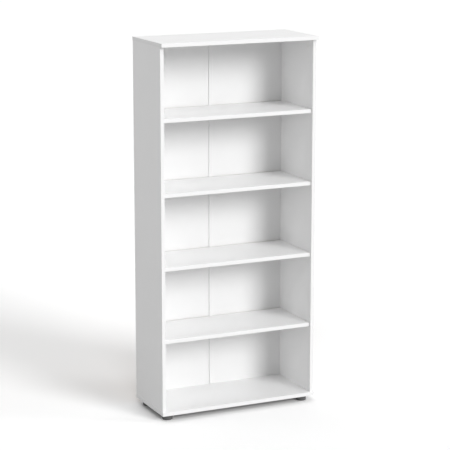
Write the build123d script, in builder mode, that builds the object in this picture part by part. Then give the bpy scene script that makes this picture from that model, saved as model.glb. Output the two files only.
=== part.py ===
from build123d import *
import os

# Boards
BOARD = 18.0  # thickness of every board
WIDTH = 800.0  # top and bottom boards, over their end bands
SIDE_DEPTH = 328.0
SIDE_INSET = 1.5  # outer face of a side, in from the ends of the top and bottom
TOP_OVERHANG = 22.0  # front of the top board, before the front of the sides
BOTTOM_OVERHANG = 7.0
CLEAR_HEIGHT = 330.0  # from each board to the next one above it

# Loose shelves
SHELF_COUNT = 4
SHELF_RECESS = 9.0  # shelf front, behind the front of the sides
SHELF_END_GAP = 1.0  # between a shelf end and a side
SHELF_REAR_GAP = 0.7  # between a shelf and the strip of the back

# Edge bands
BAND = 1.0  # thickness
BAND_ROUND = 0.8  # radius of the two long outer edges

# Back, in two halves that slide into a strip of H section
BACK = 3.0  # thickness of each half
BACK_INSET = 2.0  # edge of the back, in from the outline of the case
STRIP_WIDTH = 20.0
STRIP_FRONT_LIP = 4.0  # thickness of the flange inside the case
STRIP_REAR_LIP = 1.2  # thickness of the flange behind the back
STRIP_WEB = 2.0
STRIP_SLACK = 0.1  # between the strip and a half of the back
STRIP_END_GAP = 1.0  # between the strip and the boards above and below it
STRIP_ROUND = 1.2  # radius of the front flange's edges

# Shelf pins and the rows of holes that they fit
PIN_D = 5.0
PIN_SHANK = 8.0  # length inside the side
PIN_FIT = 0.1  # radial clearance in the hole
PIN_END_GAP = 2.0  # between the shank and the bottom of the hole
PIN_BEARING_LENGTH = 8.0  # of the tongue under the shelf
PIN_TONGUE_WIDTH = 10.0
PIN_TONGUE_THICKNESS = 3.0
PIN_TONGUE_CHAMFER = 2.5  # of the tongue's free corners
PIN_SETBACK = 37.0  # front column of holes, behind the front of the sides
PIN_COLUMN_SPACING = 224.0  # from the front column to the rear one
PIN_STEP = 32.0  # from hole to hole up a column
PIN_HOLES = 3  # holes for each pin, the middle one in use

# Joints between the sides and the boards above and below them
JOINT_SETBACK = 60.0  # bolts and screws, in from the front and rear of the sides
HIDDEN_FIT = 0.05  # radial clearance of what is glued, pressed or screwed in
HIDDEN_END_GAP = 1.0  # between the end of such a piece and the bottom of its hole

DOWEL_D = 8.0
DOWEL_IN_BOARD = 11.0
DOWEL_IN_SIDE = 19.0

SCREW_HEAD_D = 10.0
SCREW_HEAD = 3.0
SCREW_SHANK_D = 7.0
SCREW_THREAD_D = 5.0
SCREW_IN_SIDE = 32.0
SCREW_SOCKET = 4.0  # across the flats
SCREW_SOCKET_DEPTH = 2.0

BOLT_THREAD_D = 5.0
BOLT_THREAD = 11.0  # length screwed into the top board
BOLT_SHANK_D = 6.0
BOLT_NECK_D = 4.5
BOLT_HEAD_D = 6.5
BOLT_HEAD = 3.0  # length of the head
BOLT_SEAT = 3.0  # from the axis of the cam to the face that the cam pulls on
BOLT_BORE_SLACK = 0.5  # around the shank in the end of the side

CAM_POCKET_D = 15.0
CAM_SETBACK = 34.0  # axis of the cam, below the top end of the side
CAM_FIT = 0.1  # radial clearance in the pocket
CAM_SUNK = 0.2  # face of the cam, below the face of the side
CAM_LIP = 1.0  # wall between the head of the bolt and the rear end of the cam
CAM_END_GAP = 0.25  # between the cam and the bottom of its pocket
CAM_SLACK = 0.25  # around the neck and head of the bolt
CAM_OFFSET = 0.4  # of the hollow from the axis, so that half a turn draws the bolt in
DRIVE_LENGTH = 9.0  # cross recess in the face of the cam
DRIVE_WIDTH = 1.6
DRIVE_DEPTH = 3.0
COVER_D = 17.2  # cap over the cam
COVER = 1.3  # thickness of the cap
COVER_CHAMFER = 0.7
COVER_GAP = 0.05  # between the cap and the side

# Feet
FOOT_D = 50.0
FOOT_HEIGHT = 30.0
FOOT_CHAMFER = 2.0  # of the lower edge
FOOT_INSET_X = 44.0  # centre of a foot, in from the end of the bottom board
FOOT_INSET_Y = 45.0  # centre of a foot, in from the front and rear of the sides
STUD_D = 8.0
STUD_FIT = 0.1  # radial clearance in the insert
STUD_END_GAP = 1.0
INSERT_D = 12.0
INSERT = 14.0  # length

# Faces of the case: X is its width, Y runs from front to rear and Z up from the floor
REAR_PROUD = BACK + STRIP_SLACK + STRIP_REAR_LIP
REAR_Y = (SIDE_DEPTH + TOP_OVERHANG - REAR_PROUD) / 2
SIDE_FRONT_Y = REAR_Y - SIDE_DEPTH
TOP_FRONT_Y = SIDE_FRONT_Y - TOP_OVERHANG
BOTTOM_FRONT_Y = SIDE_FRONT_Y - BOTTOM_OVERHANG
SIDE_MIDDLE_Y = REAR_Y - SIDE_DEPTH / 2
SHELF_FRONT_Y = SIDE_FRONT_Y + SHELF_RECESS
SHELF_REAR_Y = REAR_Y - STRIP_SLACK - STRIP_FRONT_LIP - SHELF_REAR_GAP
SIDE_OUTER_X = WIDTH / 2 - SIDE_INSET
SIDE_INNER_X = SIDE_OUTER_X - BOARD
SIDE_MIDDLE_X = SIDE_OUTER_X - BOARD / 2
SHELF_WIDTH = 2 * (SIDE_INNER_X - SHELF_END_GAP)
SIDE_BASE_Z = FOOT_HEIGHT + BOARD
SHELF_PITCH = CLEAR_HEIGHT + BOARD
SIDE_HEIGHT = SHELF_COUNT * SHELF_PITCH + CLEAR_HEIGHT
SIDE_TOP_Z = SIDE_BASE_Z + SIDE_HEIGHT
HEIGHT = SIDE_TOP_Z + BOARD

# Places of the pieces that repeat
HANDS = {"left": -1, "right": 1}
JOINT_YS = {"front": SIDE_FRONT_Y + JOINT_SETBACK, "rear": REAR_Y - JOINT_SETBACK}
JOINT_POINTS = [(hand * SIDE_MIDDLE_X, y) for hand in HANDS.values() for y in JOINT_YS.values()]
DOWEL_POINTS = [(hand * SIDE_MIDDLE_X, SIDE_MIDDLE_Y) for hand in HANDS.values()]
FOOT_X = WIDTH / 2 - FOOT_INSET_X
FOOT_YS = {"front": SIDE_FRONT_Y + FOOT_INSET_Y, "rear": REAR_Y - FOOT_INSET_Y}
FOOT_POINTS = [(hand * FOOT_X, y) for hand in HANDS.values() for y in FOOT_YS.values()]
SHELF_UNDERSIDES = [SIDE_BASE_Z + CLEAR_HEIGHT + place * SHELF_PITCH for place in range(SHELF_COUNT)]
PIN_MIDDLE_Y = SIDE_FRONT_Y + PIN_SETBACK + PIN_COLUMN_SPACING / 2

# Sizes shared by pieces that fit together
CAM_D = CAM_POCKET_D - 2 * CAM_FIT
CAM_AXIS_Z = SIDE_TOP_Z - CAM_SETBACK
CAM_POCKET = BOARD / 2 + BOLT_HEAD_D / 2 + CAM_LIP + CAM_END_GAP
CAM_LENGTH = CAM_POCKET - CAM_END_GAP - CAM_SUNK
SCREW_SHANK = BOARD - SCREW_HEAD


def keep(piece, name):
    """Label a finished piece and write it under its name."""
    piece.part.label = name
    export_step(piece.part, f"parts/{name}.step")


def inner_face(hand):
    """Plane on the inner face of a side, its Z into the case and its Y up."""
    return Plane((hand * SIDE_INNER_X, 0, 0), x_dir=(0, -hand, 0), z_dir=(-hand, 0, 0))


def holes(plane, points, diameter, depth):
    """Drill blind holes at points of a plane, against its normal."""
    with BuildSketch(plane) as circles:
        with Locations(*points):
            Circle(diameter / 2)
    extrude(circles.sketch, amount=-depth, mode=Mode.SUBTRACT)


def rods(plane, points, diameter, length):
    """Stand round rods at points of a plane, along its normal."""
    with BuildSketch(plane) as circles:
        with Locations(*points):
            Circle(diameter / 2)
    extrude(circles.sketch, amount=length)


def edge_band(plane, length):
    """Make an edge band on a plane at the middle of a board's bare edge, along the plane's X."""
    with BuildPart() as band:
        with BuildSketch(plane):
            Rectangle(length, BOARD)
        extrude(amount=BAND)
        outer_face = band.faces().sort_by(Axis(plane.origin, plane.z_dir))[-1]
        fillet(outer_face.edges().sort_by(SortBy.LENGTH)[-2:], radius=BAND_ROUND)
    return band


def front_edge(y, middle_z):
    """Plane on a front edge, with its normal towards the front and its X along the width."""
    return Plane((0, y, middle_z), x_dir=(1, 0, 0), z_dir=(0, -1, 0))


def end_edge(hand, front_y, middle_z):
    """Plane on the end of the top or bottom board, its X along the bare depth."""
    middle_y = (front_y + BAND + REAR_Y) / 2
    return Plane((hand * (WIDTH / 2 - BAND), middle_y, middle_z), x_dir=(0, 1, 0), z_dir=(hand, 0, 0))


def cover_board(front_y, base_z):
    """Make the bare board of the top or the bottom, with room for a band on its front and ends."""
    depth = REAR_Y - front_y - BAND
    with BuildSketch(Plane.XY.offset(base_z)) as outline:
        with Locations((0, REAR_Y - depth / 2)):
            Rectangle(WIDTH - 2 * BAND, depth)
    extrude(outline.sketch, amount=BOARD)


def side_panel(hand):
    """Make a side, drilled on its inner face and at both ends."""
    face = inner_face(hand)
    top_end = Plane.XY.offset(SIDE_TOP_Z)
    base_end = Plane((0, 0, SIDE_BASE_Z), x_dir=(1, 0, 0), z_dir=(0, 0, -1))
    bare_middle_y = (SIDE_FRONT_Y + BAND + REAR_Y) / 2
    pin_rows = [(-hand * PIN_MIDDLE_Y, underside - PIN_D / 2) for underside in SHELF_UNDERSIDES]
    bolts = [(x, y) for x, y in JOINT_POINTS if x * hand > 0]
    dowels = [(x, y) for x, y in DOWEL_POINTS if x * hand > 0]
    with BuildPart() as side:
        with BuildSketch(face):
            with Locations((-hand * bare_middle_y, SIDE_BASE_Z + SIDE_HEIGHT / 2)):
                Rectangle(SIDE_DEPTH - BAND, SIDE_HEIGHT)
        extrude(amount=-BOARD)
        with BuildSketch(face):
            with Locations(*pin_rows):
                with GridLocations(PIN_COLUMN_SPACING, PIN_STEP, 2, PIN_HOLES):
                    Circle(PIN_D / 2 + PIN_FIT)
        extrude(amount=-PIN_SHANK - PIN_END_GAP, mode=Mode.SUBTRACT)
        holes(face, [(-hand * y, CAM_AXIS_Z) for x, y in bolts], CAM_POCKET_D, CAM_POCKET)
        holes(top_end, bolts, BOLT_SHANK_D + 2 * BOLT_BORE_SLACK, CAM_SETBACK)
        holes(top_end, dowels, DOWEL_D + 2 * HIDDEN_FIT, DOWEL_IN_SIDE + HIDDEN_END_GAP)
        base_screws = [(x, -y) for x, y in bolts]
        holes(base_end, base_screws, SCREW_THREAD_D + 2 * HIDDEN_FIT, SCREW_IN_SIDE + HIDDEN_END_GAP)
        base_dowels = [(x, -y) for x, y in dowels]
        holes(base_end, base_dowels, DOWEL_D + 2 * HIDDEN_FIT, DOWEL_IN_SIDE + HIDDEN_END_GAP)
    return side


def shelf_board(underside):
    """Make a loose shelf, bare at the front for its band."""
    depth = SHELF_REAR_Y - SHELF_FRONT_Y - BAND
    with BuildPart() as shelf:
        with BuildSketch(Plane.XY.offset(underside)):
            with Locations((0, SHELF_REAR_Y - depth / 2)):
                Rectangle(SHELF_WIDTH, depth)
        extrude(amount=BOARD)
    return shelf


def shelf_pins(hand, underside):
    """Make the front and rear pins that carry one end of a shelf on their tongues."""
    face = inner_face(hand)
    reach = SHELF_END_GAP + PIN_BEARING_LENGTH
    with BuildPart() as pins:
        with BuildSketch(face):
            with Locations((-hand * PIN_MIDDLE_Y, underside - PIN_D / 2)):
                with GridLocations(PIN_COLUMN_SPACING, PIN_STEP, 2, 1):
                    Circle(PIN_D / 2)
        extrude(amount=-PIN_SHANK)
        with BuildSketch(face):
            with Locations((-hand * PIN_MIDDLE_Y, underside - PIN_TONGUE_THICKNESS / 2)):
                with GridLocations(PIN_COLUMN_SPACING, PIN_STEP, 2, 1):
                    Rectangle(PIN_TONGUE_WIDTH, PIN_TONGUE_THICKNESS)
        extrude(amount=reach)
        free_corners = pins.edges().filter_by(Axis.Z).group_by(Axis(face.origin, face.z_dir))[-1]
        chamfer(free_corners, length=PIN_TONGUE_CHAMFER)
    return pins


def cam_plane(hand, y):
    """Plane on the inner face of a side at the axis of a cam, its Z into the case and its X up."""
    return Plane((hand * SIDE_INNER_X, y, CAM_AXIS_Z), x_dir=(0, 0, 1), z_dir=(-hand, 0, 0))


def cross(plane, clearance, depth, mode):
    """Sink the cross of the cam's recess below a plane, smaller all round by a clearance."""
    with BuildSketch(plane) as arms:
        Rectangle(DRIVE_LENGTH - 2 * clearance, DRIVE_WIDTH - 2 * clearance)
        Rectangle(DRIVE_WIDTH - 2 * clearance, DRIVE_LENGTH - 2 * clearance)
    extrude(arms.sketch, amount=-depth, mode=mode)


def cam_fitting(hand, y):
    """Make a cam: a cup whose eccentric hollow draws the bolt in as the cam turns half a turn."""
    axis_plane = cam_plane(hand, y)
    face = axis_plane.offset(-CAM_SUNK)
    hollow_top = axis_plane.offset(BOLT_HEAD_D / 2 + CAM_SLACK - BOARD / 2)
    window_base = axis_plane.offset(-BOLT_NECK_D / 2 - CAM_SLACK - BOARD / 2)
    head_reach = Vector(BOLT_HEAD_D / 2, BOLT_SEAT).length
    hollow_radius = head_reach + CAM_SLACK + CAM_OFFSET
    window_edge = BOLT_NECK_D / 2 + CAM_SLACK
    with BuildPart() as cam:
        rods(face, [(0, 0)], CAM_D, -CAM_LENGTH)
        holes(hollow_top, [(-CAM_OFFSET, 0)], 2 * hollow_radius, CAM_LENGTH)
        # window that the neck of the bolt runs along from locked to free
        with BuildSketch(window_base):
            with Locations((0, window_edge)):
                Rectangle(CAM_POCKET_D, CAM_POCKET_D, align=(Align.CENTER, Align.MAX))
        extrude(amount=2 * window_edge, mode=Mode.SUBTRACT)
        # entry for the head of the bolt, opposite the locked place
        with BuildSketch(hollow_top):
            Rectangle(CAM_POCKET_D, BOLT_HEAD_D + 2 * CAM_SLACK, align=(Align.MAX, Align.CENTER))
        extrude(amount=-CAM_LENGTH, mode=Mode.SUBTRACT)
        cross(face, 0, DRIVE_DEPTH, Mode.SUBTRACT)
    return cam


def cam_cover(hand, y):
    """Make the cover of a cam: a thin cap with a cross under it that presses into the recess."""
    cap_base = cam_plane(hand, y).offset(COVER_GAP)
    with BuildPart() as cover:
        rods(cap_base, [(0, 0)], COVER_D, COVER)
        cap_face = cover.faces().sort_by(Axis(cap_base.origin, cap_base.z_dir))[-1]
        chamfer(cap_face.edges(), length=COVER_CHAMFER)
        cross(cap_base, HIDDEN_FIT, COVER_GAP + CAM_SUNK + DRIVE_DEPTH, Mode.ADD)
    return cover


def foot(x, y):
    """Make a round foot with the stud that screws into the bottom board."""
    with BuildPart() as piece:
        rods(Plane.XY, [(x, y)], FOOT_D, FOOT_HEIGHT)
        chamfer(piece.edges().group_by(Axis.Z)[0], length=FOOT_CHAMFER)
        rods(Plane.XY.offset(FOOT_HEIGHT), [(x, y)], STUD_D, INSERT - STUD_END_GAP)
    return piece


def back_half(hand):
    """Make one half of the back, from the strip to its outer edge."""
    inner_x = STRIP_WEB / 2 + STRIP_SLACK
    outer_x = SIDE_OUTER_X - BACK_INSET
    with BuildPart() as half:
        with BuildSketch(Plane((0, REAR_Y, 0), x_dir=(-1, 0, 0), z_dir=(0, 1, 0))):
            with Locations((-hand * (inner_x + outer_x) / 2, (FOOT_HEIGHT + HEIGHT) / 2)):
                Rectangle(outer_x - inner_x, HEIGHT - FOOT_HEIGHT - 2 * BACK_INSET)
        extrude(amount=BACK)
    return half


os.makedirs("parts", exist_ok=True)

with BuildPart() as top_board:
    cover_board(TOP_FRONT_Y, SIDE_TOP_Z)
    top_underside = Plane((0, 0, SIDE_TOP_Z), x_dir=(1, 0, 0), z_dir=(0, 0, -1))
    bolt_holes = [(x, -y) for x, y in JOINT_POINTS]
    holes(top_underside, bolt_holes, BOLT_THREAD_D + 2 * HIDDEN_FIT, BOLT_THREAD + HIDDEN_END_GAP)
    dowel_holes = [(x, -y) for x, y in DOWEL_POINTS]
    holes(top_underside, dowel_holes, DOWEL_D + 2 * HIDDEN_FIT, DOWEL_IN_BOARD + HIDDEN_END_GAP)
keep(top_board, "top_board")

with BuildPart() as bottom_board:
    cover_board(BOTTOM_FRONT_Y, FOOT_HEIGHT)
    bottom_face = Plane.XY.offset(SIDE_BASE_Z)
    bottom_underside = Plane((0, 0, FOOT_HEIGHT), x_dir=(1, 0, 0), z_dir=(0, 0, -1))
    holes(bottom_face, DOWEL_POINTS, DOWEL_D + 2 * HIDDEN_FIT, DOWEL_IN_BOARD + HIDDEN_END_GAP)
    holes(bottom_face, JOINT_POINTS, SCREW_SHANK_D + 2 * HIDDEN_FIT, BOARD)
    head_holes = [(x, -y) for x, y in JOINT_POINTS]
    holes(bottom_underside, head_holes, SCREW_HEAD_D + 2 * HIDDEN_FIT, SCREW_HEAD)
    insert_holes = [(x, -y) for x, y in FOOT_POINTS]
    holes(bottom_underside, insert_holes, INSERT_D + 2 * HIDDEN_FIT, INSERT)
keep(bottom_board, "bottom_board")

# Bands of the top and bottom boards
for board_name, front_y, base_z in [("top", TOP_FRONT_Y, SIDE_TOP_Z), ("bottom", BOTTOM_FRONT_Y, FOOT_HEIGHT)]:
    middle_z = base_z + BOARD / 2
    keep(edge_band(front_edge(front_y + BAND, middle_z), WIDTH), f"{board_name}_front_band")
    for side_name, hand in HANDS.items():
        end_band = edge_band(end_edge(hand, front_y, middle_z), REAR_Y - front_y - BAND)
        keep(end_band, f"{board_name}_{side_name}_band")

# Sides with their front bands, and the halves of the back behind them
for side_name, hand in HANDS.items():
    keep(side_panel(hand), f"{side_name}_side")
    side_edge = Plane(
        (hand * SIDE_MIDDLE_X, SIDE_FRONT_Y + BAND, SIDE_BASE_Z + SIDE_HEIGHT / 2),
        x_dir=(0, 0, 1),
        z_dir=(0, -1, 0),
    )
    keep(edge_band(side_edge, SIDE_HEIGHT), f"{side_name}_side_band")
    keep(back_half(hand), f"back_{side_name}_half")

with BuildPart() as back_strip:
    with BuildSketch(Plane.XY.offset(SIDE_BASE_Z + STRIP_END_GAP)):
        with Locations((0, REAR_Y - STRIP_SLACK)):
            Rectangle(STRIP_WIDTH, STRIP_FRONT_LIP, align=(Align.CENTER, Align.MAX))
            Rectangle(STRIP_WEB, BACK + 2 * STRIP_SLACK, align=(Align.CENTER, Align.MIN))
        with Locations((0, REAR_Y + BACK + STRIP_SLACK)):
            Rectangle(STRIP_WIDTH, STRIP_REAR_LIP, align=(Align.CENTER, Align.MIN))
    extrude(amount=SIDE_HEIGHT - 2 * STRIP_END_GAP)
    front_corners = back_strip.edges().filter_by(Axis.Z).group_by(Axis.Y)[0]
    fillet(front_corners, radius=STRIP_ROUND)
keep(back_strip, "back_strip")

# Shelves, numbered from the lowest, each on four pins
for number, underside in enumerate(SHELF_UNDERSIDES, start=1):
    keep(shelf_board(underside), f"shelf_{number}")
    shelf_edge = front_edge(SHELF_FRONT_Y + BAND, underside + BOARD / 2)
    keep(edge_band(shelf_edge, SHELF_WIDTH), f"shelf_{number}_band")
    for side_name, hand in HANDS.items():
        keep(shelf_pins(hand, underside), f"shelf_{number}_{side_name}_pins")

# Cams in the sides under their covers, and the bolts of the top board that they lock on
for side_name, hand in HANDS.items():
    for place, y in JOINT_YS.items():
        keep(cam_fitting(hand, y), f"cam_{place}_{side_name}")
        keep(cam_cover(hand, y), f"cam_{place}_{side_name}_cover")

with BuildPart() as cam_bolts:
    head_z = CAM_AXIS_Z + BOLT_SEAT - BOLT_HEAD
    neck_top_z = CAM_AXIS_Z + CAM_POCKET_D / 2 + CAM_SLACK
    rods(Plane.XY.offset(head_z), JOINT_POINTS, BOLT_HEAD_D, BOLT_HEAD)
    rods(Plane.XY.offset(head_z + BOLT_HEAD), JOINT_POINTS, BOLT_NECK_D, neck_top_z - head_z - BOLT_HEAD)
    rods(Plane.XY.offset(neck_top_z), JOINT_POINTS, BOLT_SHANK_D, SIDE_TOP_Z - neck_top_z)
    rods(Plane.XY.offset(SIDE_TOP_Z), JOINT_POINTS, BOLT_THREAD_D, BOLT_THREAD)
keep(cam_bolts, "cam_bolts")

with BuildPart() as base_screws:
    rods(Plane.XY.offset(FOOT_HEIGHT), JOINT_POINTS, SCREW_HEAD_D, SCREW_HEAD)
    rods(Plane.XY.offset(FOOT_HEIGHT + SCREW_HEAD), JOINT_POINTS, SCREW_SHANK_D, SCREW_SHANK)
    rods(Plane.XY.offset(SIDE_BASE_Z), JOINT_POINTS, SCREW_THREAD_D, SCREW_IN_SIDE)
    with BuildSketch(Plane.XY.offset(FOOT_HEIGHT)):
        with Locations(*JOINT_POINTS):
            RegularPolygon(SCREW_SOCKET / 2, 6, major_radius=False)
    extrude(amount=SCREW_SOCKET_DEPTH, mode=Mode.SUBTRACT)
keep(base_screws, "base_screws")

with BuildPart() as dowels:
    rods(Plane.XY.offset(SIDE_TOP_Z - DOWEL_IN_SIDE), DOWEL_POINTS, DOWEL_D, DOWEL_IN_SIDE + DOWEL_IN_BOARD)
    rods(Plane.XY.offset(SIDE_BASE_Z - DOWEL_IN_BOARD), DOWEL_POINTS, DOWEL_D, DOWEL_IN_SIDE + DOWEL_IN_BOARD)
keep(dowels, "dowels")

# Feet, and the threaded inserts that take their studs
for side_name, hand in HANDS.items():
    for place, y in FOOT_YS.items():
        keep(foot(hand * FOOT_X, y), f"foot_{place}_{side_name}")

with BuildPart() as foot_inserts:
    rods(Plane.XY.offset(FOOT_HEIGHT), FOOT_POINTS, INSERT_D, INSERT)
    holes(Plane.XY.offset(FOOT_HEIGHT + INSERT), FOOT_POINTS, STUD_D + 2 * STUD_FIT, INSERT)
keep(foot_inserts, "foot_inserts")
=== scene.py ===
"""Looks of a white bookcase with adjustable shelves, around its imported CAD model.

The boards, bands, back, pins and fittings are the CAD's own solids, given finishes and softened
edges. The feet and the covers of the cams are turned anew where their solids stand, and the nails
of the back and the caps of the spare holes are made here. Lengths are in metres, in the frame of
the CAD model.
"""

import logging
import math
import random
from collections.abc import Sequence
from dataclasses import dataclass
from enum import Enum, StrEnum
from itertools import product

import bmesh
import bpy
from mathutils import Matrix, Vector


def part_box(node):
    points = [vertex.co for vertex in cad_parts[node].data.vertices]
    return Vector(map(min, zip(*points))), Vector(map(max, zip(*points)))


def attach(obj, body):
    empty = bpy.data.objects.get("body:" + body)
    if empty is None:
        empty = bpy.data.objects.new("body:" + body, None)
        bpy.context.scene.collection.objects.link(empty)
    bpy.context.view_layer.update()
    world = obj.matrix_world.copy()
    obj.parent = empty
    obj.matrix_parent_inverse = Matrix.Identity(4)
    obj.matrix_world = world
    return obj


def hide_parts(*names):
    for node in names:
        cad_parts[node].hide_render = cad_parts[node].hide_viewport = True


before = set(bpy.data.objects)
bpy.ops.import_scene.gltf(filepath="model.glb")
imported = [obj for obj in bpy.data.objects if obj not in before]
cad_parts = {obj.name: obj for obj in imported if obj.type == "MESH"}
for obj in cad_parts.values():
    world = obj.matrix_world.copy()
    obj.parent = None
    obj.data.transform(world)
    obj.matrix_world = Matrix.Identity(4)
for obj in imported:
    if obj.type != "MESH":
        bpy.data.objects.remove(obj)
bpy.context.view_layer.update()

LOG = logging.getLogger("bookcase")
MM = 0.001
SAME_POINT = 0.001 * MM
FLAT_ANGLE = math.radians(0.5)
ARRIS_ANGLE = math.radians(40)
ARRIS_STEPS = 2
CREASE_ANGLE = math.radians(35)
Colour = tuple[float, float, float, float]
Stops = tuple[tuple[float, Colour], ...]
Profile = list[tuple[float, float]]
Ring = list[bmesh.types.BMVert]


class Axis(Enum):
    """A direction of the frame, by its place in a vector."""

    X = 0
    Y = 1
    Z = 2


class Bond(Enum):
    """The face of an edge band that is glued to its board: an axis, and which end of it."""

    REAR = (Axis.Y, 1.0)
    RIGHT = (Axis.X, 1.0)
    LEFT = (Axis.X, 0.0)


class Level(StrEnum):
    """One of the two boards that close the case."""

    TOP = "top"
    BOTTOM = "bottom"


class Place(StrEnum):
    """Where a foot or a cam is along the depth of the case."""

    FRONT = "front"
    REAR = "rear"


class Hand(StrEnum):
    """One of the two sides, as seen from the front."""

    LEFT = "left"
    RIGHT = "right"

    @property
    def inward(self) -> int:
        """Sign along X of the way from this side to the middle."""
        return 1 if self is Hand.LEFT else -1

    @property
    def inner_face(self) -> float:
        """Place along X of the face that the shelves are between."""
        low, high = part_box(f"{self}_side")
        return high.x if self is Hand.LEFT else low.x

    def stand(self, spot: Vector) -> Matrix:
        """Place at a spot on this side, with its Z pointing inwards."""
        return Matrix.Translation(spot) @ Matrix.Rotation(math.radians(90 * self.inward), 4, "Y")


def rgb(red: float, green: float, blue: float) -> Colour:
    """Colour of three linear parts."""
    return (red, green, blue, 1.0)


def grey(level: float) -> Colour:
    """Neutral colour of one linear level."""
    return rgb(level, level, level)


class Signal:
    """One output of a node, with arithmetic that adds the nodes that it needs."""

    def __init__(self, graph: "Graph", socket: bpy.types.NodeSocket) -> None:
        """Wrap a socket of a graph."""
        self.graph = graph
        self.socket = socket

    def _apply(self, operation: str, *operands: "Feed") -> "Signal":
        """Result of a Math node, or of a Vector Math node where this signal is a vector."""
        kind = "ShaderNodeVectorMath" if self.socket.type == "VECTOR" else "ShaderNodeMath"
        return self.graph.add(kind, {"operation": operation}, dict(enumerate(operands)))

    def __add__(self, other: "Feed") -> "Signal":
        """Sum."""
        return self._apply("ADD", self, other)

    def __radd__(self, other: "Feed") -> "Signal":
        """Sum with a number on the left."""
        return self._apply("ADD", other, self)

    def __sub__(self, other: "Feed") -> "Signal":
        """Difference."""
        return self._apply("SUBTRACT", self, other)

    def __rsub__(self, other: "Feed") -> "Signal":
        """Difference from a number on the left."""
        return self._apply("SUBTRACT", other, self)

    def __mul__(self, other: "Feed") -> "Signal":
        """Product."""
        return self._apply("MULTIPLY", self, other)

    def __rmul__(self, other: "Feed") -> "Signal":
        """Product with a number on the left."""
        return self._apply("MULTIPLY", other, self)

    def __abs__(self) -> "Signal":
        """Size without sign."""
        return self._apply("ABSOLUTE", self)

    def rise(self, start: float, end: float) -> "Signal":
        """Smooth step from 0 at the start to 1 at the end, which falls where the end is the lower one."""
        limits = {"Value": self, "From Min": start, "From Max": end}
        return self.graph.add("ShaderNodeMapRange", {"interpolation_type": "SMOOTHSTEP"}, limits)

    def tint(self, low: "Feed", high: "Feed") -> "Signal":
        """Colour that is the low one where this signal is 0 and the high one where it is 1."""
        sockets = {"Factor_Float": self, "A_Color": low, "B_Color": high}
        return self.graph.add("ShaderNodeMix", {"data_type": "RGBA"}, sockets, "Result_Color")

    def ramp(self, stops: Stops) -> "Signal":
        """Colour from a ramp, whose stops are given in rising order."""
        return self.graph.add("ShaderNodeValToRGB", {"stops": stops}, {"Fac": self}, "Color")


Feed = Signal | float | Sequence[float]


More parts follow.
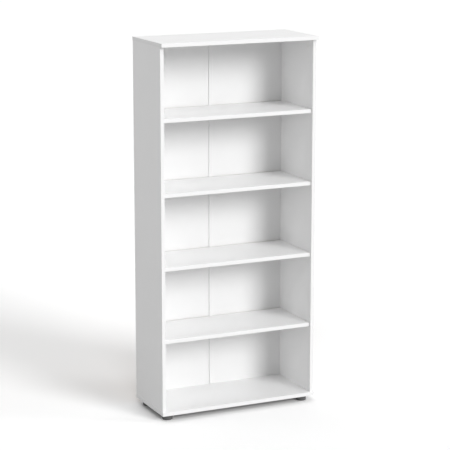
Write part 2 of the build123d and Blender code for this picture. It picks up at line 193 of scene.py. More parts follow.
class Graph:
    """The nodes of one material or of the world."""

    def __init__(self, tree: bpy.types.NodeTree) -> None:
        """Start from an empty tree."""
        tree.nodes.clear()
        self.tree = tree

    @staticmethod
    def _find(sockets: bpy.types.bpy_prop_collection, key: str | int) -> bpy.types.NodeSocket:
        """Pick a socket by its place, identifier or name.

        Args:
            sockets: inputs or outputs of a node.
            key: which of them.

        Returns:
            The socket.
        """
        if isinstance(key, int):
            return sockets[key]
        return next(socket for socket in sockets if key in (socket.identifier, socket.name))

    def add(
        self,
        kind: str,
        settings: dict[str, object] | None = None,
        sockets: dict[str | int, Feed] | None = None,
        output: str | int = 0,
    ) -> Signal | None:
        """Add one node.

        Args:
            kind: Blender's name of the node's type.
            settings: properties, set before the sockets; "stops" fills a colour ramp.
            sockets: value or signal of each input that isn't left as it is.
            output: the output that is wanted.

        Returns:
            That output, or None for a node that has none.
        """
        node = self.tree.nodes.new(kind)
        for key, value in (settings or {}).items():
            if key == "stops":
                self._fill_ramp(node.color_ramp.elements, value)
            else:
                setattr(node, key, value)
        for key, feed in (sockets or {}).items():
            entry = self._find(node.inputs, key)
            if isinstance(feed, Signal):
                self.tree.links.new(feed.socket, entry)
            else:
                entry.default_value = feed
        return Signal(self, self._find(node.outputs, output)) if node.outputs else None

    @staticmethod
    def _fill_ramp(elements: bpy.types.ColorRampElements, stops: Stops) -> None:
        """Give a colour ramp its stops.

        Args:
            elements: the ramp's own stops, at first two.
            stops: place and colour of each, in rising order.
        """
        while len(elements) < len(stops):
            elements.new(1.0)
        for element, (place, colour) in zip(elements, stops):
            element.position = place
            element.color = colour

    def place(self) -> Signal:
        """Position on the piece, in metres."""
        return self.add("ShaderNodeTexCoord", output="Object")

    def share(self, axis: Axis) -> Signal:
        """Position along one axis of the piece's own box, from 0 to 1, or of a direction, from -1 to 1."""
        box = self.add("ShaderNodeTexCoord", output="Generated")
        return self.add("ShaderNodeSeparateXYZ", sockets={0: box}, output=axis.value)

    def facing(self, axis: Axis) -> Signal:
        """Part of the surface's normal along one axis."""
        normal = self.add("ShaderNodeTexCoord", output="Normal")
        return self.add("ShaderNodeSeparateXYZ", sockets={0: normal}, output=axis.value)

    def noise(self, size: float, detail: float = 2.0, place: Signal | None = None) -> Signal:
        """Noise from 0 to 1, by the size of its largest clouds and the number of finer layers on them."""
        sockets = {"Vector": place or self.place(), "Scale": 1 / size, "Detail": detail}
        return self.add("ShaderNodeTexNoise", None, sockets, "Fac")

    def cells(self, size: float, place: Signal) -> Signal:
        """Cells of random colour, by their distance and the position that they are read at."""
        return self.add("ShaderNodeTexVoronoi", None, {"Vector": place, "Scale": 1 / size}, "Color")

    def drawn(self, along: Axis, length: float, width: float) -> Signal:
        """Noise drawn out into lines.

        Args:
            along: direction of the lines.
            length: how long they are.
            width: how wide they are.

        Returns:
            The noise.
        """
        squeeze = [1.0] * len(Axis)
        squeeze[along.value] = width / length
        return self.noise(width, detail=3.0, place=self.place() * tuple(squeeze))

    def looked_at(self) -> Signal:
        """Tell looking from lighting.

        Returns:
            1 for the rays that look at a surface, straight or in a mirror or glass, and 0 for light.
        """
        rays = ("Is Camera Ray", "Is Glossy Ray", "Is Transmission Ray")
        camera, glossy, passing = (self.add("ShaderNodeLightPath", output=ray) for ray in rays)
        return camera + glossy + passing

    def surface(self, layer: "Layer", **constants: float) -> None:
        """End the graph in a shader.

        Args:
            layer: colour, roughness and relief.
            constants: other sockets of the shader, with _ for a space in their names.
        """
        bump = self.add("ShaderNodeBump", None, {"Height": layer.relief, "Distance": MM})
        sockets = {"Base Color": layer.colour, "Roughness": layer.roughness, "Normal": bump}
        sockets.update({name.replace("_", " "): value for name, value in constants.items()})
        shader = self.add("ShaderNodeBsdfPrincipled", None, sockets)
        self.add("ShaderNodeOutputMaterial", None, {"Surface": shader})


@dataclass(frozen=True)
class Layer:
    """Colour, roughness and relief in millimetres of one substance."""

    colour: Signal
    roughness: Signal
    relief: Signal

    def covered(self, mask: Signal, cover: "Layer") -> "Layer":
        """Lay another substance over this one.

        Args:
            mask: 1 where the cover shows.
            cover: the other substance.

        Returns:
            What shows of the two.
        """
        return Layer(
            mask.tint(self.colour, cover.colour),
            self.roughness + (cover.roughness - self.roughness) * mask,
            self.relief + (cover.relief - self.relief) * mask,
        )


@dataclass(frozen=True)
class Finish:
    """What every finish has: a name, and the material that it makes once."""

    name: str

    def shade(self, graph: Graph) -> None:
        """Fill the material's graph."""
        raise NotImplementedError

    def material(self) -> bpy.types.Material:
        """Make the material, or find it where it has been made.

        Returns:
            The finish as a material.
        """
        made = bpy.data.materials.get(self.name)
        if made is None:
            made = bpy.data.materials.new(self.name)
            made.use_nodes = True
            self.shade(Graph(made.node_tree))
        return made


@dataclass(frozen=True)
class BoardFinish(Finish):
    """White melamine facing on chipboard, which is bare on uncovered edges and in holes."""

    across: Axis
    thickness: float = 18 * MM
    facing: float = 0.3 * MM
    fine_layer: float = 4 * MM
    pearl_size: float = 0.6 * MM
    peel_size: float = 8 * MM
    cloud_size: float = 70 * MM
    fine_chip_size: float = 0.7 * MM
    coarse_chip_size: float = 1.9 * MM
    chip_flatness: float = 0.6
    pit_size: float = 1.4 * MM
    fibre_size: float = 0.4 * MM
    white: Colour = grey(0.91)
    cloud: Colour = grey(0.895)
    chip_tones: Stops = (
        (0.15, rgb(0.22, 0.13, 0.06)),
        (0.5, rgb(0.44, 0.30, 0.16)),
        (0.85, rgb(0.60, 0.45, 0.27)),
    )
    pit: Colour = rgb(0.10, 0.06, 0.03)

    def melamine(self, graph: Graph) -> Layer:
        """Satin white facing with a fine pearled grain.

        Args:
            graph: the material's nodes.

        Returns:
            The facing.
        """
        pearl = graph.noise(self.pearl_size)
        peel = graph.noise(self.peel_size)
        clouds = graph.noise(self.cloud_size, detail=3.0)
        roughness = 0.36 + 0.06 * clouds + 0.06 * pearl
        return Layer(clouds.tint(self.cloud, self.white), roughness, 0.012 * pearl + 0.012 * peel)

    def chipboard(self, graph: Graph, depth: Signal) -> Layer:
        """Pressed chips, fine near the faces and coarse in the middle.

        Args:
            graph: the material's nodes.
            depth: distance from the nearer face, as a share of the thickness.

        Returns:
            The bare board.
        """
        squeeze = [self.chip_flatness] * len(Axis)
        squeeze[self.across.value] = 1.0
        place = graph.place() * tuple(squeeze)
        core_start = self.fine_layer / self.thickness
        core = depth.rise(0.7 * core_start, core_start)
        fine = graph.cells(self.fine_chip_size, place)
        coarse = graph.cells(self.coarse_chip_size, place)
        wood = core.tint(fine, coarse).ramp(self.chip_tones)
        pits = graph.noise(self.pit_size, detail=3.0, place=place).rise(0.6, 0.7) * core
        fibres = graph.noise(self.fibre_size, detail=3.0, place=place)
        return Layer(pits.tint(wood, self.pit), 0.82 + 0.12 * fibres, 0.10 * fibres - 0.35 * pits)

    def shade(self, graph: Graph) -> None:
        """Face the board across its thickness and leave the rest bare.

        Args:
            graph: the material's nodes.
        """
        depth = 0.5 - abs(graph.share(self.across) - 0.5)
        limit = self.facing / self.thickness
        faced = depth.rise(1.1 * limit, limit)
        graph.surface(self.chipboard(graph, depth).covered(faced, self.melamine(graph)))


@dataclass(frozen=True)
class ShadeBackedFinish(BoardFinish):
    """Board that is white above and has dark grey paper below, whose darkness is painted shade that
    deepens the floor's shadow under the case.
    """

    paper_fibre_length: float = 12 * MM
    paper_fibre_width: float = 0.5 * MM
    paper_cloud_size: float = 25 * MM
    # Dark grey of the paper below: painted shade that darkens the light bounced onto the floor under the
    # case.
    paper_shade_colour: Colour = rgb(0.27, 0.265, 0.26)
    paper_fibre_shade_colour: Colour = rgb(0.21, 0.205, 0.20)

    def shade_backing(self, graph: Graph) -> Layer:
        """Dull dark paper with fibres along the board, painted shade for the floor under the case.

        Args:
            graph: the material's nodes.

        Returns:
            The dark paper of painted shade.
        """
        fibres = graph.drawn(Axis.X, self.paper_fibre_length, self.paper_fibre_width)
        clouds = graph.noise(self.paper_cloud_size, detail=3.0)
        return Layer(fibres.tint(self.paper_fibre_shade_colour, self.paper_shade_colour), 0.66 + 0.12 * clouds, 0.02 * fibres)

    def melamine(self, graph: Graph) -> Layer:
        """White facing above and dark paper of painted shade below."""
        # The lower face gets the dark paper, painted shade for the floor beneath.
        shade_paper_mask = graph.share(self.across).rise(0.6, 0.4)
        return super().melamine(graph).covered(shade_paper_mask, self.shade_backing(graph))


@dataclass(frozen=True)
class BandFinish(Finish):
    """White plastic edge band with scraped edges and a thin line of glue where it meets its board."""

    along: Axis
    bond: Bond
    line_length: float = 90 * MM
    line_width: float = 0.35 * MM
    pearl_size: float = 0.6 * MM
    cloud_size: float = 45 * MM
    glue_share: float = 0.12
    white: Colour = grey(0.85)
    cloud: Colour = grey(0.84)
    glue: Colour = rgb(0.60, 0.58, 0.53)

    def shade(self, graph: Graph) -> None:
        """Draw the scraper's lines along the band.

        Args:
            graph: the material's nodes.
        """
        axis, end = self.bond.value
        scraped = graph.drawn(self.along, self.line_length, self.line_width)
        pearl = graph.noise(self.pearl_size)
        clouds = graph.noise(self.cloud_size, detail=3.0)
        seam = abs(graph.share(axis) - end).rise(self.glue_share, 0.3 * self.glue_share)
        plastic = Layer(
            clouds.tint(self.cloud, self.white),
            0.30 + 0.08 * scraped + 0.05 * clouds,
            0.006 * scraped + 0.006 * pearl,
        )
        glue = Layer(clouds.tint(self.glue, self.white), 0.55 + 0.1 * clouds, -0.03 + 0.02 * pearl)
        graph.surface(plastic.covered(seam, glue))


@dataclass(frozen=True)
class BackFinish(Finish):
    """Thin hardboard, lacquered white on its front and bare brown on its rear and edges."""

    peel_size: float = 2.2 * MM
    cloud_size: float = 60 * MM
    fibre_size: float = 5 * MM
    stain_size: float = 140 * MM
    speck_size: float = 1.6 * MM
    white: Colour = grey(0.85)
    cloud: Colour = grey(0.835)
    brown_tones: Stops = (
        (0.32, rgb(0.17, 0.095, 0.045)),
        (0.5, rgb(0.27, 0.165, 0.085)),
        (0.68, rgb(0.39, 0.26, 0.145)),
    )
    speck: Colour = rgb(0.09, 0.05, 0.025)

    def lacquer(self, graph: Graph) -> Layer:
        """White lacquer with a faint orange peel.

        Args:
            graph: the material's nodes.

        Returns:
            The lacquer.
        """
        peel = graph.noise(self.peel_size)
        clouds = graph.noise(self.cloud_size, detail=3.0)
        return Layer(clouds.tint(self.cloud, self.white), 0.40 + 0.08 * clouds, 0.018 * peel)

    def hardboard(self, graph: Graph) -> Layer:
        """Matted brown fibres with darker specks and broad stains.

        Args:
            graph: the material's nodes.

        Returns:
            The bare hardboard.
        """
        fibres = graph.noise(self.fibre_size, detail=9.0)
        stains = graph.noise(self.stain_size, detail=3.0)
        brown = (0.7 * fibres + 0.3 * stains).ramp(self.brown_tones)
        specks = graph.noise(self.speck_size).rise(0.66, 0.74)
        return Layer(specks.tint(brown, self.speck), 0.68 + 0.16 * fibres, 0.09 * fibres - 0.03 * specks)

    def shade(self, graph: Graph) -> None:
        """Lacquer the side that faces the front."""
        front = graph.facing(Axis.Y).rise(-0.6, -0.9)
        graph.surface(self.hardboard(graph).covered(front, self.lacquer(graph)))


@dataclass(frozen=True)
class ExtrudedFinish(Finish):
    """Extruded white plastic with faint die lines along its length."""

    along: Axis
    line_length: float = 400 * MM
    line_width: float = 0.5 * MM
    cloud_size: float = 50 * MM
    white: Colour = grey(0.85)
    cloud: Colour = grey(0.835)

    def shade(self, graph: Graph) -> None:
        """Draw the die lines.

        Args:
            graph: the material's nodes.
        """
        lines = graph.drawn(self.along, self.line_length, self.line_width)
        clouds = graph.noise(self.cloud_size, detail=3.0)
        roughness = 0.30 + 0.10 * lines + 0.05 * clouds
        graph.surface(Layer(clouds.tint(self.cloud, self.white), roughness, 0.010 * lines))


@dataclass(frozen=True)
class MouldedFinish(Finish):
    """Moulded plastic with the fine spark grain of its tool."""

    colour: Colour
    cloud: Colour
    grain_size: float = 0.35 * MM
    roughness: float = 0.42
    flow_size: float = 12 * MM

    def shade(self, graph: Graph) -> None:
        """Grain over faint flow marks.

        Args:
            graph: the material's nodes.
        """
        grain = graph.noise(self.grain_size)
        flow = graph.noise(self.flow_size, detail=4.0)
        roughness = self.roughness + 0.10 * grain + 0.06 * flow
        graph.surface(Layer(flow.tint(self.cloud, self.colour), roughness, 0.014 * grain))


@dataclass(frozen=True)
class MetalFinish(Finish):
    """Bare or plated metal with clouding and fine pits."""

    colour: Colour
    cloud: Colour
    pit_size: float
    roughness: float
    cloud_size: float = 4 * MM

    def shade(self, graph: Graph) -> None:
        """Cloud the colour and the gloss together.

        Args:
            graph: the material's nodes.
        """
        clouds = graph.noise(self.cloud_size, detail=4.0)
        pits = graph.noise(self.pit_size, detail=3.0)
        roughness = self.roughness + 0.14 * clouds + 0.06 * pits
        graph.surface(Layer(clouds.tint(self.cloud, self.colour), roughness, 0.02 * pits), Metallic=1.0)


@dataclass(frozen=True)
class BeechFinish(Finish):
    """Turned beech with its short dark flecks."""

    grain_length: float = 24 * MM
    grain_width: float = 0.9 * MM
    fleck_length: float = 2.5 * MM
    fleck_width: float = 0.3 * MM
    light: Colour = rgb(0.66, 0.47, 0.28)
    dark: Colour = rgb(0.50, 0.33, 0.18)
    fleck: Colour = rgb(0.33, 0.19, 0.09)

    def shade(self, graph: Graph) -> None:
        """Grain and flecks along the dowel.

        Args:
            graph: the material's nodes.
        """
        grain = graph.drawn(Axis.Z, self.grain_length, self.grain_width)
        flecks = graph.drawn(Axis.Z, self.fleck_length, self.fleck_width).rise(0.62, 0.72)
        colour = flecks.tint(grain.tint(self.dark, self.light), self.fleck)
        graph.surface(Layer(colour, 0.55 + 0.2 * grain, 0.05 * grain - 0.02 * flecks))


SIDE_BOARD = BoardFinish("white_board_side", Axis.X)
FLAT_BOARD = BoardFinish("white_board_flat", Axis.Z)
BASE_BOARD = ShadeBackedFinish("white_board_base", Axis.Z)
LONG_BAND = BandFinish("white_edge_front", Axis.X, Bond.REAR)
UPRIGHT_BAND = BandFinish("white_edge_upright", Axis.Z, Bond.REAR)
LEFT_BAND = BandFinish("white_edge_left", Axis.Y, Bond.RIGHT)
RIGHT_BAND = BandFinish("white_edge_right", Axis.Y, Bond.LEFT)
BACK_BOARD = BackFinish("back_board_lacquered")
STRIP_PLASTIC = ExtrudedFinish("strip_plastic_white", Axis.Z)
PIN_PLASTIC = MouldedFinish("pin_plastic_white", grey(0.90), grey(0.87))
FOOT_PLASTIC = MouldedFinish(
    "foot_plastic_grey", grey(0.125), grey(0.105), grain_size=0.5 * MM, roughness=0.36
)
INSERT_PLASTIC = MouldedFinish("insert_plastic_grey", grey(0.30), grey(0.26))
PLATED_STEEL = MetalFinish(
    "fitting_steel_plated", rgb(0.70, 0.70, 0.69), rgb(0.60, 0.59, 0.56), pit_size=0.4 * MM, roughness=0.24
)
CAST_ZINC = MetalFinish(
    "cam_zinc_cast", rgb(0.62, 0.63, 0.65), rgb(0.52, 0.53, 0.55), pit_size=0.25 * MM, roughness=0.34
)
DOWEL_BEECH = BeechFinish("dowel_wood_beech")


def soften(piece: bpy.types.Object, width: float) -> None:
    """Take the sharpness off a solid's edges.

    Args:
        piece: the solid.
        width: how far each edge is cut back.
    """
    weld = piece.modifiers.new("joined_corners", "WELD")
    weld.merge_threshold = SAME_POINT
    flat = piece.modifiers.new("whole_faces", "DECIMATE")
    flat.decimate_type = "DISSOLVE"
    flat.angle_limit = FLAT_ANGLE
    arris = piece.modifiers.new("arris", "BEVEL")
    arris.width = width
    arris.segments = ARRIS_STEPS
    arris.limit_method = "ANGLE"
    arris.angle_limit = ARRIS_ANGLE
    piece.modifiers.new("even_shading", "WEIGHTED_NORMAL")


def dress(node: str, finish: Finish, arris: float) -> None:
    """Give a CAD node its finish and softened edges.

    Args:
        node: name of the node.
        finish: what its surface is.
        arris: how far its edges are cut back.
    """
    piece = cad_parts[node]
    piece.data.materials.clear()
    piece.data.materials.append(finish.material())
    soften(piece, arris)
    LOG.info("dressed %s in %s", node, finish.name)


def add_piece(
    name: str, shape: bmesh.types.BMesh, finish: Finish, body: str
) -> bpy.types.Object:
    """Make a piece of a finished shape.

    Args:
        name: name of the piece.
        shape: its mesh, in the frame of the CAD model, which is freed.
        finish: what its surface is.
        body: the CAD body that it moves with.

    Returns:
        The piece.
    """
    bmesh.ops.recalc_face_normals(shape, faces=shape.faces)
    mesh = bpy.data.meshes.new(name)
    shape.to_mesh(mesh)
    shape.free()
    mesh.shade_smooth()
    mesh.set_sharp_from_angle(angle=CREASE_ANGLE)
    mesh.materials.append(finish.material())
    piece = bpy.data.objects.new(name, mesh)
    bpy.context.scene.collection.objects.link(piece)
    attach(piece, body)
    LOG.info("made %s in %s on %s", name, finish.name, body)
    return piece


def arc(centre: tuple[float, float], radius: float, start: float, end: float, steps: int) -> Profile:
    """Points on part of a circle, in even steps from one angle to another, in degrees."""
    angles = [math.radians(start + (end - start) * step / steps) for step in range(steps + 1)]
    return [(centre[0] + radius * math.cos(a), centre[1] + radius * math.sin(a)) for a in angles]


def skin(shape: bmesh.types.BMesh, rings: Sequence[Ring]) -> None:
    """Close the surface between rings of corners.

    Args:
        shape: the mesh that the rings are in.
        rings: each with a corner for every step around the axis, or a single one on it.
    """
    steps = max(len(ring) for ring in rings)
    for lower, upper in zip(rings, rings[1:]):
        for step in range(steps):
            walk = ((lower, step), (lower, step + 1), (upper, step + 1), (upper, step))
            corners = dict.fromkeys(ring[at % len(ring)] for ring, at in walk)
            shape.faces.new(tuple(corners))


def turn(shape: bmesh.types.BMesh, profile: Profile, place: Matrix, segments: int) -> None:
    """Turn a profile into a closed solid.

    Args:
        shape: the mesh that it is added to.
        profile: radius and height of each point, from the axis round to the axis.
        place: where the solid stands, with the axis along its Z.
        segments: steps around the axis.
    """
    rings = []
    for radius, height in profile:
        count = segments if radius else 1
        turns = [2 * math.pi * step / count for step in range(count)]
        points = [(radius * math.cos(a), radius * math.sin(a), height) for a in turns]
        rings.append([shape.verts.new(place @ Vector(point)) for point in points])
    skin(shape, rings)


@dataclass(frozen=True)
class Case:
    """Top, bottom and sides, with the bands on their edges."""

    arris: float = 0.25 * MM
    band_arris: float = 0.12 * MM

    def build(self) -> None:
        """Dress every board and band."""
        boards = {Level.TOP: FLAT_BOARD, Level.BOTTOM: BASE_BOARD}
        for level, finish in boards.items():
            dress(f"{level}_board", finish, self.arris)
            dress(f"{level}_front_band", LONG_BAND, self.band_arris)
            dress(f"{level}_left_band", LEFT_BAND, self.band_arris)
            dress(f"{level}_right_band", RIGHT_BAND, self.band_arris)
        for hand in Hand:
            dress(f"{hand}_side", SIDE_BOARD, self.arris)
            dress(f"{hand}_side_band", UPRIGHT_BAND, self.band_arris)


@dataclass(frozen=True)
class Back:
    """Two halves of hardboard in a strip, nailed to the rear edges of the case."""

    arris: float = 0.2 * MM
    strip_arris: float = 0.15 * MM
    head_radius: float = 2.3 * MM
    head_height: float = 0.7 * MM
    head_sunk: float = 0.3 * MM
    crown_shares: tuple[tuple[float, float], ...] = ((0.5, 1.08), (0.0, 1.12))
    pitch: float = 118 * MM
    drift: float = 2.5 * MM
    lean_radians: float = 0.05
    end_margin: float = 26 * MM
    segments: int = 20
    seed: int = 5

    def row(self, start: float, end: float) -> list[float]:
        """Even places of the nails in one row.

        Args:
            start: where the row begins.
            end: where it ends.

        Returns:
            The places, a margin in from both ends.
        """
        first = start + self.end_margin
        length = end - self.end_margin - first
        count = round(length / self.pitch)
        return [first + length * step / count for step in range(count + 1)]

    def nail_points(self) -> list[tuple[float, float]]:
        """Set out the nails along the edges of the boards.

        Returns:
            X and Z of each nail.
        """
        points = []
        for hand in Hand:
            side_low, side_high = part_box(f"{hand}_side")
            half_low, half_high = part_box(f"back_{hand}_half")
            upright = (side_low.x + side_high.x) / 2
            points += [(upright, z) for z in self.row(half_low.z, half_high.z)]
            strip_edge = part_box("back_strip")[1].x
            reach = sorted((math.copysign(strip_edge, upright), upright))
            for level in Level:
                board_low, board_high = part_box(f"{level}_board")
                middle = (board_low.z + board_high.z) / 2
                points += [(x, middle) for x in self.row(*reach)]
        return points

    def nails(self) -> None:
        """Drive flat nails around the back, a little unevenly as by hand."""
        chance = random.Random(self.seed)
        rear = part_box("back_left_half")[1].y
        edge = self.head_height / 2
        head = [(0.0, -self.head_sunk), (self.head_radius, -self.head_sunk)]
        head += arc((self.head_radius - edge, edge), edge, 0, 90, steps=3)
        head += [(self.head_radius * out, self.head_height * up) for out, up in self.crown_shares]
        shape = bmesh.new()
        for x, z in self.nail_points():
            drift_x, drift_z = (chance.uniform(-self.drift, self.drift) for _ in range(2))
            spot = Vector((x + drift_x, rear, z + drift_z))
            lean = Matrix.Rotation(chance.uniform(-self.lean_radians, self.lean_radians), 4, "Z")
            place = Matrix.Translation(spot) @ lean @ Matrix.Rotation(math.radians(-90), 4, "X")
            turn(shape, head, place, self.segments)
        add_piece("back_nails", shape, PLATED_STEEL, "case")

    def build(self) -> None:
        """Dress the halves and the strip, and nail them on."""
        for hand in Hand:
            dress(f"back_{hand}_half", BACK_BOARD, self.arris)
        dress("back_strip", STRIP_PLASTIC, self.strip_arris)
        self.nails()


@dataclass(frozen=True)
class Shelves:
    """Loose shelves, the pins that carry them and the caps on the spare holes beside the pins."""

    count: int = 4
    arris: float = 0.25 * MM
    band_arris: float = 0.12 * MM
    pin_arris: float = 0.3 * MM
    pin_radius: float = 2.5 * MM
    tongue_width: float = 10 * MM
    hole_step: float = 32 * MM
    cap_radius: float = 3.7 * MM
    cap_height: float = 0.6 * MM
    cap_dome: float = 0.1 * MM
    plug_length: float = 5 * MM
    plug_taper: float = 0.4 * MM
    segments: int = 24

    def spare_holes(self, hand: Hand) -> list[tuple[float, float]]:
        """Find the holes above and below each pin of one side.

        Args:
            hand: the side.

        Returns:
            Y and Z of the middle of each hole.
        """
        points = []
        for number in range(1, self.count + 1):
            low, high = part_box(f"shelf_{number}_{hand}_pins")
            columns = (low.y + self.tongue_width / 2, high.y - self.tongue_width / 2)
            middle = high.z - self.pin_radius
            points += [(y, middle + step) for y in columns for step in (-self.hole_step, self.hole_step)]
        return points

    def hole_caps(self, hand: Hand) -> None:
        """Close the spare holes of one side with thin caps on short plugs.

        Args:
            hand: the side.
        """
        rim = self.cap_height / 2
        profile = [(0.0, -self.plug_length), (self.pin_radius - self.plug_taper, -self.plug_length)]
        profile += [(self.pin_radius, self.plug_taper - self.plug_length), (self.pin_radius, 0.0)]
        profile += arc((self.cap_radius - rim, rim), rim, -90, 90, steps=4)
        profile += [(0.0, self.cap_height + self.cap_dome)]
        shape = bmesh.new()
        for y, z in self.spare_holes(hand):
            turn(shape, profile, hand.stand(Vector((hand.inner_face, y, z))), self.segments)
        add_piece(f"{hand}_hole_caps", shape, PIN_PLASTIC, "case")

    def build(self) -> None:
        """Dress each shelf with its band and pins, and cap the spare holes."""
        for number in range(1, self.count + 1):
            dress(f"shelf_{number}", FLAT_BOARD, self.arris)
            dress(f"shelf_{number}_band", LONG_BAND, self.band_arris)
            for hand in Hand:
                dress(f"shelf_{number}_{hand}_pins", PIN_PLASTIC, self.pin_arris)
        for hand in Hand:
            self.hole_caps(hand)


@dataclass(frozen=True)
class TopJoint:
    """Cams in the sides under white covers, the bolts that they pull, and the dowels."""

    cam_arris: float = 0.15 * MM
    bolt_arris: float = 0.2 * MM
    dowel_arris: float = 0.5 * MM
    cover_round: float = 0.8 * MM
    cover_dome: float = 0.25 * MM
    dome_shares: tuple[tuple[float, float], ...] = ((0.6, 0.7), (0.0, 1.0))
    cover_gap: float = 0.03 * MM
    notch_half_angle: float = 16.0
    notch_depth: float = 0.7 * MM
    notch_start: float = 0.96
    notch_floor: float = 0.25
    segments: int = 72

    def cap_profile(self, radius: float, height: float) -> Profile:
        """Section of a cover's cap, from the face of the side to the top of its dome.

        Args:
            radius: outer radius.
            height: of the rim, without the dome.

        Returns:
            Radius and height of each point.
        """
        rim = radius - self.cover_round
        profile = [(0.0, 0.0), (radius, 0.0)]
        profile += arc((rim, height - self.cover_round), self.cover_round, 0, 90, steps=6)
        return profile + [(out * rim, height + up * self.cover_dome) for out, up in self.dome_shares]

    def cut_notch(self, shape: bmesh.types.BMesh, stand: Matrix, radius: float, height: float) -> None:
        """Cut away part of a cap's rim, so that a blade gets under it.

        Args:
            shape: the cap.
            stand: where it stands.
            radius: its outer radius.
            height: of its rim.
        """
        start = self.notch_start * (radius - self.cover_round)
        inwards = stand.col[2].to_3d()
        down = Vector((0, 0, -1))
        for corner in shape.verts:
            reach = corner.co - stand.translation
            rise = reach.dot(inwards)
            reach -= rise * inwards
            in_rim = reach.length > start and rise > height * self.notch_floor
            if in_rim and reach.angle(down) < math.radians(self.notch_half_angle):
                corner.co -= inwards * min(self.notch_depth, rise)

    def cover(self, hand: Hand, place: Place) -> None:
        """Turn the cap of a cam's cover, with a notch in its rim to pry it off.

        Args:
            hand: the side that the cam is in.
            place: whether it is the front or the rear one.
        """
        name = f"cam_{place}_{hand}"
        low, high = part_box(f"{name}_cover")
        crown = high.x if hand is Hand.LEFT else low.x
        middle = (low + high) / 2
        middle.x = hand.inner_face + hand.inward * self.cover_gap
        radius = (high.y - low.y) / 2
        height = abs(crown - middle.x) - self.cover_dome
        stand = hand.stand(middle)
        shape = bmesh.new()
        turn(shape, self.cap_profile(radius, height), stand, self.segments)
        self.cut_notch(shape, stand, radius, height)
        cap = add_piece(f"{name}_cap", shape, PIN_PLASTIC, name)
        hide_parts(f"{name}_cover")

    def build(self) -> None:
        """Dress the fittings and cover the cams."""
        for hand, place in product(Hand, Place):
            dress(f"cam_{place}_{hand}", CAST_ZINC, self.cam_arris)
            self.cover(hand, place)
        dress("cam_bolts", PLATED_STEEL, self.bolt_arris)
        dress("dowels", DOWEL_BEECH, self.dowel_arris)


@dataclass(frozen=True)
class Base:
    """Screws through the bottom board, and the feet with their inserts."""

    screw_arris: float = 0.2 * MM
    insert_arris: float = 0.2 * MM
    foot_round: float = 3 * MM
    foot_top_round: float = 0.8 * MM
    foot_gap: float = 0.05 * MM
    sole_width: float = 5 * MM
    sole_hollow: float = 1.5 * MM
    parting_height: float = 11 * MM
    parting_depth: float = 0.15 * MM
    segments: int = 96
    thread_pitch: float = 1.25 * MM
    thread_depth: float = 0.7 * MM
    thread_steps: int = 8
    thread_segments: int = 32
    stud_radius: float = 4 * MM

    def cup_profile(self, radius: float, height: float) -> Profile:
        """Section of the moulded foot, from the hollow of its sole to its top.

        Args:
            radius: outer radius.
            height: from the floor to the bottom board.

        Returns:
            Radius and height of each point.
        """
        sole_edge = radius - self.foot_round
        hollow = sole_edge - self.sole_width
        parting = self.parting_height
        profile = [(0.0, self.sole_hollow), (hollow - self.sole_hollow, self.sole_hollow), (hollow, 0.0)]
        profile += arc((sole_edge, self.foot_round), self.foot_round, -90, 0, steps=8)
        profile += [
            (radius, parting - self.parting_depth),
            (radius - self.parting_depth, parting),
            (radius, parting + self.parting_depth),
        ]
        top_edge = radius - self.foot_top_round
        profile += arc((top_edge, height - self.foot_top_round), self.foot_top_round, 0, 90, steps=4)
        return profile + [(0.0, height)]

    def thread_radius(self, height: float, angle: float) -> float:
        """Radius of the thread's surface.

        Args:
            height: along the stud.
            angle: around it.

        Returns:
            The radius, between the root and the crest.
        """
        phase = (height / self.thread_pitch - angle / (2 * math.pi)) % 1
        crest = abs(2 * phase - 1)
        return self.stud_radius - self.thread_depth * (1 - crest)

    def stud(self, name: str, axis: Vector, base: float, top: float) -> None:
        """Cut the threaded stud that carries a foot.

        Args:
            name: name of the foot.
            axis: a point on the stud's axis.
            base: its lower end.
            top: its upper end.
        """
        rows = round((top - base) / self.thread_pitch * self.thread_steps)
        turns = [2 * math.pi * step / self.thread_segments for step in range(self.thread_segments)]
        shape = bmesh.new()
        rings = []
        for row in range(rows + 1):
            height = base + (top - base) * row / rows
            polar = [(self.thread_radius(height, a), a) for a in turns]
            points = [(axis.x + r * math.cos(a), axis.y + r * math.sin(a), height) for r, a in polar]
            rings.append([shape.verts.new(point) for point in points])
        skin(shape, rings)
        shape.faces.new(rings[0])
        shape.faces.new(rings[-1])
        add_piece(f"{name}_stud", shape, PLATED_STEEL, name)

    def foot(self, name: str) -> None:
        """Turn a foot in the place of its solid.

        Args:
            name: name of the foot's node and body.
        """
        low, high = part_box(name)
        middle = (low + high) / 2
        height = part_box("bottom_board")[0].z - low.z - self.foot_gap
        shape = bmesh.new()
        place = Matrix.Translation((middle.x, middle.y, low.z))
        turn(shape, self.cup_profile((high.x - low.x) / 2, height), place, self.segments)
        cup = add_piece(f"{name}_cup", shape, FOOT_PLASTIC, name)
        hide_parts(name)
        self.stud(name, middle, low.z + height, high.z)

    def build(self) -> None:
        """Dress the screws and inserts, and make the feet."""
        dress("base_screws", PLATED_STEEL, self.screw_arris)
        dress("foot_inserts", INSERT_PLASTIC, self.insert_arris)
        for hand, place in product(Hand, Place):
            self.foot(f"foot_{place}_{hand}")


@dataclass(frozen=True)
class FloorFinish(Finish):
    """Pale floor that looks white where it is lit and keeps shadows."""

    colour: Colour = grey(0.56)
    seen_colour: Colour = grey(1.17)

    def shade(self, graph: Graph) -> None:
        """Paint the floor whiter for what looks at it than for the light that it returns.

        Args:
            graph: the material's nodes.
        """
        colour = graph.looked_at().tint(self.colour, self.seen_colour)
        paint = graph.add("ShaderNodeBsdfDiffuse", None, {"Color": colour})
        graph.add("ShaderNodeOutputMaterial", None, {"Surface": paint})


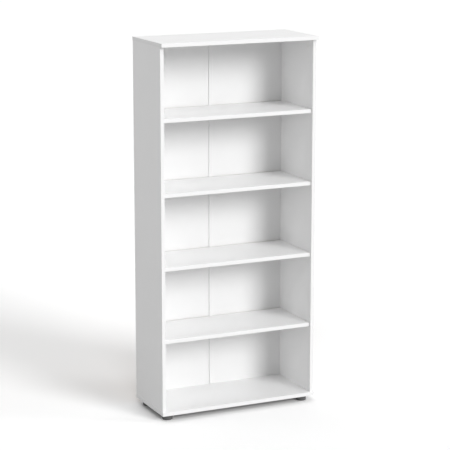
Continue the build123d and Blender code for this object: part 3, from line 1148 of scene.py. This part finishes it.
@dataclass(frozen=True)
class Lamp:
    """A soft lamp far away, by where it stands as seen from the bookcase, in degrees."""

    name: str
    azimuth: float
    elevation: float
    spread: float
    strength: float

    def hang(self) -> None:
        """Point the lamp at the bookcase; azimuth runs from the front towards the right."""
        lamp = bpy.data.lights.new(self.name, "SUN")
        lamp.energy = self.strength
        lamp.angle = math.radians(self.spread)
        azimuth, elevation = math.radians(self.azimuth), math.radians(self.elevation)
        level = math.cos(elevation)
        towards = Vector((level * math.sin(azimuth), -level * math.cos(azimuth), math.sin(elevation)))
        holder = bpy.data.objects.new(self.name, lamp)
        holder.rotation_euler = towards.to_track_quat("Z", "Y").to_euler()
        bpy.context.scene.collection.objects.link(holder)


@dataclass(frozen=True)
class Studio:
    """Pale floor, soft lamps from the right, the front, the left and behind, and a dim surround."""

    floor_reach: float = 60.0
    lamps: tuple[Lamp, ...] = (
        Lamp("key", azimuth=22.0, elevation=21.5, spread=23.0, strength=1.97),
        Lamp("side", azimuth=63.0, elevation=25.0, spread=18.0, strength=0.49),
        Lamp("front", azimuth=-24.0, elevation=50.0, spread=22.0, strength=0.61),
        Lamp("fill", azimuth=-54.0, elevation=14.0, spread=16.0, strength=0.24),
        Lamp("rim", azimuth=-118.0, elevation=46.0, spread=24.0, strength=0.17),
    )
    dim: float = 0.08
    glow: tuple[tuple[Axis, float], ...] = ((Axis.X, 0.36), (Axis.Y, 0.81), (Axis.Z, 0.10))

    def floor(self) -> None:
        """Lay the floor under the feet."""
        shape = bmesh.new()
        bmesh.ops.create_grid(shape, x_segments=1, y_segments=1, size=self.floor_reach)
        mesh = bpy.data.meshes.new("floor")
        shape.to_mesh(mesh)
        shape.free()
        mesh.materials.append(FloorFinish("floor_pale").material())
        floor = bpy.data.objects.new("floor", mesh)
        bpy.context.scene.collection.objects.link(floor)

    def surround(self) -> None:
        """Dim light all round and more from the rear, the right and above, that looks white."""
        world = bpy.data.worlds.new("surround")
        world.use_nodes = True
        bpy.context.scene.world = world
        graph = Graph(world.node_tree)
        glows = (strength * graph.share(axis).rise(0.0, 1.0) for axis, strength in self.glow)
        colour = graph.looked_at().tint(sum(glows, self.dim), grey(1.0))
        sky = graph.add("ShaderNodeBackground", None, {"Color": colour})
        graph.add("ShaderNodeOutputWorld", None, {"Surface": sky})

    def build(self) -> None:
        """Set up the floor and the lights, and show colours as they are."""
        self.floor()
        for lamp in self.lamps:
            lamp.hang()
        self.surround()
        bpy.context.scene.view_settings.view_transform = "Standard"


@dataclass(frozen=True)
class PhotoCamera:
    """The camera that took the photograph, found from the edges of the boards, with angles in degrees."""

    position: tuple[float, float, float] = (-3.48106, -7.48157, 2.65986)
    yaw: float = 24.93
    pitch: float = -12.132
    lens: float = 141.354
    sensor: float = 36.0
    reach: float = 200.0

    def build(self) -> None:
        """Set up the camera."""
        data = bpy.data.cameras.new("photo")
        data.lens = self.lens
        data.sensor_width = self.sensor
        data.clip_end = self.reach
        camera = bpy.data.objects.new("photo", data)
        camera.location = self.position
        camera.rotation_euler = (math.radians(90 + self.pitch), 0.0, math.radians(-self.yaw))
        bpy.context.scene.collection.objects.link(camera)
        bpy.context.scene.camera = camera


def main() -> None:
    """Build the camera, the studio and each part of the bookcase."""
    logging.basicConfig(level=logging.INFO, format="%(message)s")
    for part in (PhotoCamera(), Studio(), Case(), Back(), Shelves(), TopJoint(), Base()):
        part.build()
        LOG.info("built %s", type(part).__name__)


if __name__ == "__main__":
    main()
